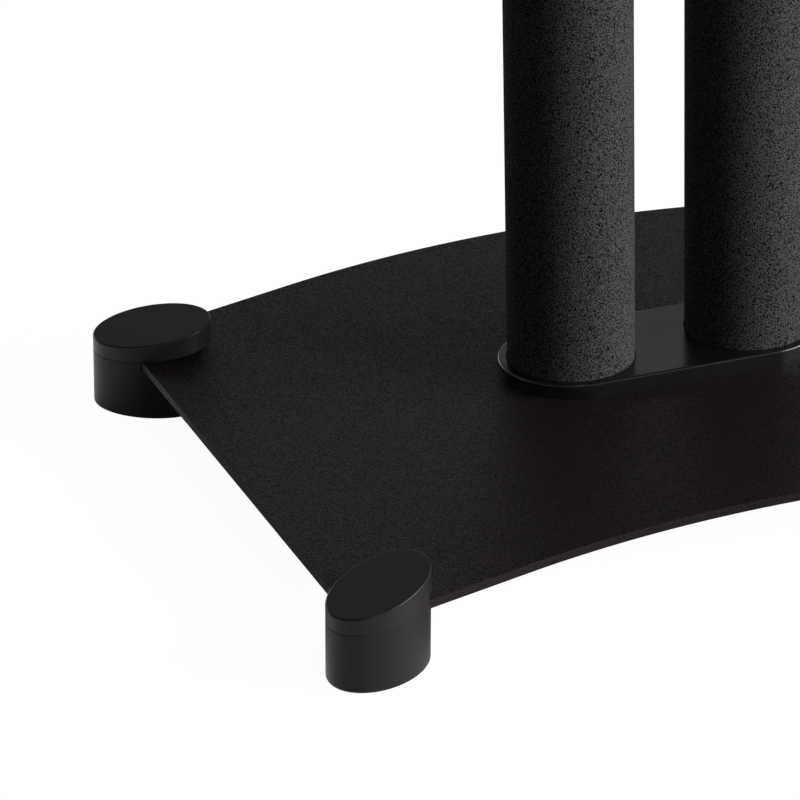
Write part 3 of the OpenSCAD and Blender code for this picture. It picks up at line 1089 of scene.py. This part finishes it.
    def _plate_block(self, name: str, grow: float, low: float, high: float) -> Piece:
        """A closed shape with the plate's outline.

        Args:
            name: The shape's name.
            grow: How far it stands out beyond the plate.
            low: The height of its underside.
            high: The height of its top.

        Returns:
            The shape.
        """
        block = copied_node("base_plate", name)
        split = (self.plate_low + self.plate_high) / 2
        with editing(block):
            bpy.ops.mesh.select_all(action="SELECT")
            bpy.ops.transform.shrink_fatten(value=grow, use_even_offset=True)
            pick(block, Element.POINT, lambda place, normal: place.z > split)
            bpy.ops.transform.resize(value=(1, 1, 0), center_override=(0, 0, high))
            pick(block, Element.POINT, lambda place, normal: place.z <= split)
            bpy.ops.transform.resize(value=(1, 1, 0), center_override=(0, 0, low))
        return block

    def _cap(self) -> Piece:
        """The slanted oval cap, with its rounded rim, its land on the plate, peg and recesses.

        Returns:
            The left foot's cap.
        """
        above = self.plate_high + 3 * self.cap_h
        cap = self.oval("cap", 0, self.plate_low, above)
        with editing(cap):
            self._trim(cap, self.cap_h, self.slant, keep_above=False)
            self._trim(cap, self.seam_lift, self.seam_slant, keep_above=True)
            pick(cap, Element.EDGE, self._on_plane(self.cap_h, self.slant))
            bevel(self.rim_round, 6)
            pick(cap, Element.EDGE, self._on_plane(self.seam_lift, self.seam_slant))
            bevel(0.15 * MM, 1)
        land = self.oval("land", self.land_inset, self.plate_high, above)
        with editing(land):
            self._trim(land, self.cap_h - self.rim_round, self.slant, keep_above=False)
        work(land, Join.KEEP_COMMON, [self._plate_block("over plate", 0, self.plate_low, above)])
        work(cap, Join.ADD, [land])
        spike_top = self._box("carpet_spike")[1].z
        spike_room = bar("spike room", self.spike_hole_d / 2, self.plate_low,
                         spike_top + self.spike_head_room, 48, self.centre)
        screw_room = bar("screw room", 2.05 * MM, self.plate_low,
                         self.plate_high + 5.4 * MM, 32, self.along(self.screw_offset))
        corner = self._plate_block("corner", self.pocket_gap, self.plate_low - OVERRUN,
                                   self.plate_high)
        work(cap, Join.CUT, [corner, spike_room, screw_room])
        peg = bar("peg", self.peg_d / 2, self.plate_high - self.peg_l, self.plate_high + MM, 32,
                  self.along(-self.peg_offset))
        bevel_ends(peg, 0.3 * MM)
        return work(cap, Join.ADD, [peg])

    def _body(self) -> Piece:
        """The oval body, with its pocket for the plate's corner and its cavities.

        Returns:
            The left foot's body.
        """
        low = self._box("foot_body")[0].z
        body = self.oval("body", self.step_in, low, self.plate_high + self.cap_h)
        share = 1 - self.draft / (self.width / 2)
        with editing(body):
            pick(body, Element.POINT, lambda place, normal: place.z < low + CLOSE)
            bpy.ops.transform.resize(value=(share, share, 1), center_override=self.centre)
            bpy.ops.transform.translate(value=(-self.rake, 0, 0))
            self._trim(body, self.seam_lift, self.seam_slant, keep_above=False)
            bevel_rims(body, self.bottom_round, 5, low)
            pick(body, Element.EDGE, self._on_plane(self.seam_lift, self.seam_slant))
            bevel(0.25 * MM, 2)
        work(body, Join.CUT, [self._plate_block("pocket", self.pocket_gap,
                                                self.plate_low - self.pocket_slack,
                                                self.plate_high + self.cap_h)])
        screw = self.along(self.screw_offset)
        work(body, Join.ADD, [bar("land", 4.5 * MM, self.screw_land_low, self.plate_low, 48,
                                  screw)])
        return work(body, Join.CUT, self._body_tools(low))

    def _body_tools(self, low: float) -> list[Piece]:
        """The shapes that hollow the body.

        Args:
            low: The height of the body's underside.

        Returns:
            The floor pad's recess, the spike's cavity, the bush's seat and the screw and peg
            holes.
        """
        screw = self.along(self.screw_offset)
        flange = self.plate_low - self.flange_h
        below = low - OVERRUN
        above = self.plate_high + self.cap_h
        pad_high = self._box("floor_pad")[1].z
        return [
            self.oval("recess", self.pad_margin - 0.1 * MM, below, pad_high, self.rake),
            bar("cavity", self.cavity_r, below, self.cavity_top, 64, self.centre),
            bar("bush bore", self.bush_r, low, above, 64, self.centre),
            bar("bush flange", self.flange_r, flange, above, 64, self.centre),
            bar("screw bore", 2.2 * MM, below, above, 32, screw),
            bar("head bore", 4 * MM, below, self.screw_seat, 48, screw),
            bar("peg bore", self.peg_d / 2 + 0.1 * MM, self.plate_high - self.peg_l - OVERRUN,
                above, 32, self.along(-self.peg_offset)),
        ]

    def _floor_pad(self) -> Piece:
        """The rubber pad let into the body, grooved where it meets the floor.

        Returns:
            The left foot's pad.
        """
        low, high = self._box("floor_pad")
        below = low.z - OVERRUN
        pad = self.oval("pad", self.pad_margin, low.z, high.z, self.rake)
        work(pad, Join.CUT, [bar("hole", 9 * MM, below, high.z + OVERRUN, 96, self.centre)])
        bevel_ends(pad, 0.2 * MM)
        grooves = []
        for inset in (5.1 * MM, 6.7 * MM):
            groove = self.oval("groove", inset, below, low.z + 0.4 * MM, self.rake)
            core = self.oval("core", inset + self.groove_w, below - OVERRUN, high.z, self.rake)
            grooves.append(work(groove, Join.CUT, [core]))
        return work(pad, Join.CUT, grooves)

    def _bush(self) -> Piece:
        """The flanged brass bush, knurled where the body grips it.

        Returns:
            The left foot's bush.
        """
        low, high = self._box("spike_bush")
        bush = bar("bush", self.bush_r, low.z, high.z, self.knurls * 2, self.centre)
        with editing(bush):
            step = math.tau / self.knurls
            pick(bush, Element.POINT, lambda place, normal: math.atan2(
                place.y - self.centre.y, place.x - self.centre.x) / step % 1 < 0.45)
            bpy.ops.transform.resize(value=(0.96, 0.96, 1), center_override=self.centre)
        flange = bar("flange", self.flange_r, high.z - self.flange_h, high.z, 64, self.centre)
        bevel_ends(flange, 0.2 * MM)
        work(bush, Join.ADD, [flange])
        bore = bar("bore", self.bush_bore_r, low.z - OVERRUN, high.z + OVERRUN, 48, self.centre)
        return work(bush, Join.CUT, [bore])

    def _spike(self) -> Piece:
        """The carpet spike: threaded stem, hexagonal collar and ground point.

        Returns:
            The left foot's spike.
        """
        low, high = self._box("carpet_spike")
        collar_low = low.z + self.point_h
        collar_high = collar_low + self.collar_h
        collar_r = across_flats(self.collar_across)
        stem = threaded_rod("stem", self.stem_r, 1 * MM, collar_low, high.z, 0.6 * MM)
        collar = bar("collar", collar_r, collar_low, collar_high, 6, turn=math.radians(30))
        rounded = bar("rounding", collar_r, collar_low, collar_high, 64)
        bevel_ends(rounded, 0.35 * MM)
        work(collar, Join.KEEP_COMMON, [rounded])
        point = bar("point", self.point_r, low.z, collar_low + 0.2 * MM, 48)
        with editing(point):
            pick(point, Element.POINT, lambda place, normal: place.z < low.z + CLOSE)
            bpy.ops.transform.resize(value=(0.105, 0.105, 1))
            bevel_rims(point, 0.15 * MM, 3, low.z)
        work(stem, Join.ADD, [collar, point])
        stem.location = (self.centre.x, self.centre.y, 0)
        return settle(stem)


@dataclass
class ClampScrews:
    """The four screws that pull the caps down onto the bodies."""

    feet: list[Foot]
    head_h: float = 3.2 * MM

    def build(self) -> None:
        """Model one screw and copy it to the four feet."""
        low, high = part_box("foot_screws")
        shank_l = high.z - self.feet[0].screw_seat
        screw = SocketScrew(4 * MM, 0.7 * MM, shank_l, 7 * MM, self.head_h,
                            2.5 * MM, 1.6 * MM, flutes=36)
        places = []
        for foot in self.feet:
            spot = foot.along(foot.screw_offset)
            places += [Matrix.Translation((side * spot.x, spot.y, low.z)) for side in (1, -1)]
        screws = gathered("fluted_foot_screws", screw.model("foot_screw"), places)
        dress(screws, ZINC_PLATE, "foot_screws")


@dataclass
class SpeakerPads:
    """The four resilient discs on the top plate."""

    rim_round: float = 0.7 * MM
    dish: float = 0.25 * MM

    def build(self) -> None:
        """Model one disc with a rounded rim and a shallow dish, and copy it."""
        nodes = [f"speaker_pad_{end.word}_{side.word}" for end in End for side in Side]
        low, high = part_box(nodes[0])
        radius = (high.x - low.x) / 2
        disc = bar("disc", radius, low.z, high.z, 96)
        with editing(disc):
            bevel_rims(disc, self.rim_round, 5, high.z)
            pick(disc, Element.FACE, lambda place, normal: normal.z > 0.999)
            bpy.ops.mesh.inset(thickness=1.6 * MM)
            bpy.ops.mesh.inset(thickness=0.4 * MM, depth=-self.dish)
            bpy.ops.mesh.inset(thickness=1.2 * MM)
        for node in nodes:
            place = middle(node)
            twin = copied(disc, f"moulded_{node}", Matrix.Translation((place.x, place.y, 0)))
            dress(twin, PAD_RUBBER, node)
        bpy.data.objects.remove(disc)


@dataclass
class Lamp:
    """A soft rectangular studio lamp."""

    name: str
    place: Triple
    aim: Triple
    width: float
    height: float
    watts: float

    def build(self) -> None:
        """Hang the lamp and aim it."""
        light = bpy.data.lights.new(self.name, "AREA")
        light.shape = "RECTANGLE"
        light.size = self.width
        light.size_y = self.height
        light.energy = self.watts
        lamp = bpy.data.objects.new(self.name, light)
        bpy.context.scene.collection.objects.link(lamp)
        lamp.location = self.place
        way = Vector(self.aim) - Vector(self.place)
        lamp.rotation_euler = way.to_track_quat("-Z", "Y").to_euler()


@dataclass
class Studio:
    """The pale floor, the white surroundings, the lamps and the camera."""

    floor_half: float = 8.0
    floor_drop: float = 0.2 * MM
    floor_white: float = 0.97
    floor_mirrored: float = 0.85
    floor_tone: Tint = Tint(70, 70, 70)
    floor_shade: Tint = Tint(108, 108, 108)
    # Half sizes of the oval of painted shade under the stand, which gloss sees on the floor.
    painted_shade_half: tuple[float, float] = (0.26, 0.17)
    fill: float = 0.06
    dome: float = 0.08
    lens: float = 271.2
    camera_place: Triple = (-0.8492, -1.9904, 1.0224)
    camera_tilt: float = math.radians(65.05)
    camera_roll: float = math.radians(1.123)
    camera_turn: float = math.radians(-20.67)
    lamps: tuple[Lamp, ...] = (
        Lamp("key", (1.85, -1.2, 0.7), (0, 0, 0.25), 1.7, 1.3, 70),
        Lamp("left fill", (-2.2, 0.6, 0.9), (0, 0, 0.2), 0.7, 1.4, 1),
        Lamp("back", (0.75, 2.3, 1.25), (0, 0, 0.05), 1.4, 0.6, 0.75),
        Lamp("rear", (-0.7, 2.2, 0.35), (0, 0, 0.3), 1.2, 0.6, 4),
        Lamp("overhead", (-0.13, -1.15, 2.0), (0, 0, 0), 0.3, 0.3, 3),
    )

    def build(self) -> None:
        """Set up everything round the stand."""
        bpy.context.scene.view_settings.view_transform = "Standard"
        self._build_camera()
        self._build_world()
        self._build_floor()
        for lamp in self.lamps:
            lamp.build()

    def _build_camera(self) -> None:
        """Place the camera at the photograph's viewing angle."""
        data = bpy.data.cameras.new("camera")
        data.lens = self.lens
        data.sensor_width = 36
        data.clip_start = 0.05
        data.clip_end = 60
        camera = bpy.data.objects.new("camera", data)
        bpy.context.scene.collection.objects.link(camera)
        camera.location = self.camera_place
        camera.rotation_euler = (self.camera_tilt, self.camera_roll, self.camera_turn)
        bpy.context.scene.camera = camera

    @staticmethod
    def _seen(bench: NodeBench, mirrored: Wire | float) -> Wire:
        """How much of the background's white each kind of ray shows.

        Args:
            bench: The bench of the background's material or world.
            mirrored: The share that gloss shows.

        Returns:
            1 for direct rays and rays through glass, the share for gloss, 0 for the rest.
        """
        path = bench.node("ShaderNodeLightPath")
        camera, glossy, through = (Wire(bench, path.outputs[f"Is {kind} Ray"])
                                   for kind in ("Camera", "Glossy", "Transmission"))
        return camera.greater(glossy * mirrored).greater(through)

    def _build_world(self) -> None:
        """White surroundings at eye level under a dim dome."""
        world = bpy.data.worlds.new("studio")
        bpy.context.scene.world = world
        bench = NodeBench(world)
        way = bench.node("ShaderNodeSeparateXYZ", {}, {
            0: bench.add("ShaderNodeTexCoord", output="Generated")})
        height = Wire(bench, way.outputs["Z"])
        mirrored = 1 - height.step(0.04, 0.24) * (1 - self.dome)
        strength = self._seen(bench, mirrored).greater(self.fill)
        bench.surface(bench.node("ShaderNodeBackground", {}, {
            "Color": (1, 1, 1, 1), "Strength": strength}))

    def _build_floor(self) -> None:
        """A pale floor that keeps the stand's soft shadow, and a painted shade under the stand that
        only gloss sees.
        """
        bpy.ops.object.select_all(action="DESELECT")
        bpy.ops.mesh.primitive_plane_add(size=2 * self.floor_half,
                                         location=(0, 0, -self.floor_drop))
        floor = settle(bpy.context.active_object)
        floor.name = "floor"
        made = bpy.data.materials.new("pale floor")
        bench = NodeBench(made)
        # Painted shade: in a soft oval under the stand, gloss sees the floor's white dimmed to 15 %.
        across, along = self.painted_shade_half
        painted_shade_distance = bench.add("ShaderNodeVectorMath", {"operation": "LENGTH"},
                                {0: bench.coordinates((1 / across, 1 / along, 0))}, "Value")
        outside_painted_shade = painted_shade_distance.step(0.9, 1.2) * 0.85 + 0.15
        seen = self._seen(bench, outside_painted_shade * self.floor_mirrored)
        matt = bench.node("ShaderNodeBsdfDiffuse", {}, {"Color": self.floor_tone.linear})
        shaded = bench.node("ShaderNodeBsdfDiffuse", {}, {"Color": self.floor_shade.linear})
        glow = bench.node("ShaderNodeEmission", {}, {"Strength": self.floor_white})
        white = bench.node("ShaderNodeAddShader", {}, {0: shaded.outputs[0], 1: glow.outputs[0]})
        shown = bench.node("ShaderNodeMixShader", {}, {
            0: seen, 1: matt.outputs[0], 2: white.outputs[0]})
        clear = bench.node("ShaderNodeBsdfTransparent")
        under = bench.add("ShaderNodeNewGeometry", output="Backfacing")
        bench.surface(bench.node("ShaderNodeMixShader", {}, {
            0: under, 1: shown.outputs[0], 2: clear.outputs[0]}))
        floor.data.materials.append(made)


def main() -> None:
    """Build the studio and the stand, one sub-assembly after the other."""
    logging.basicConfig(level=logging.INFO, format="%(name)s: %(message)s")
    feet = [Foot(End.FRONT, math.radians(38)), Foot(End.REAR, math.radians(-35))]
    assemblies = [
        Studio(),
        CoatedPlate("base_plate"),
        CoatedPlate("top_plate"),
        Shoe("lower_shoe", faces_up=True),
        Shoe("upper_shoe", faces_up=False),
        Pillar(Side.LEFT),
        Pillar(Side.RIGHT),
        Fasteners(),
        *feet,
        ClampScrews(feet),
        SpeakerPads(),
    ]
    for assembly in assemblies:
        assembly.build()
    refinish(MILL_STEEL, *(f"end_plate_{level}_{side.word}"
                           for level in ("lower", "upper") for side in Side))


if __name__ == "__main__":
    main()
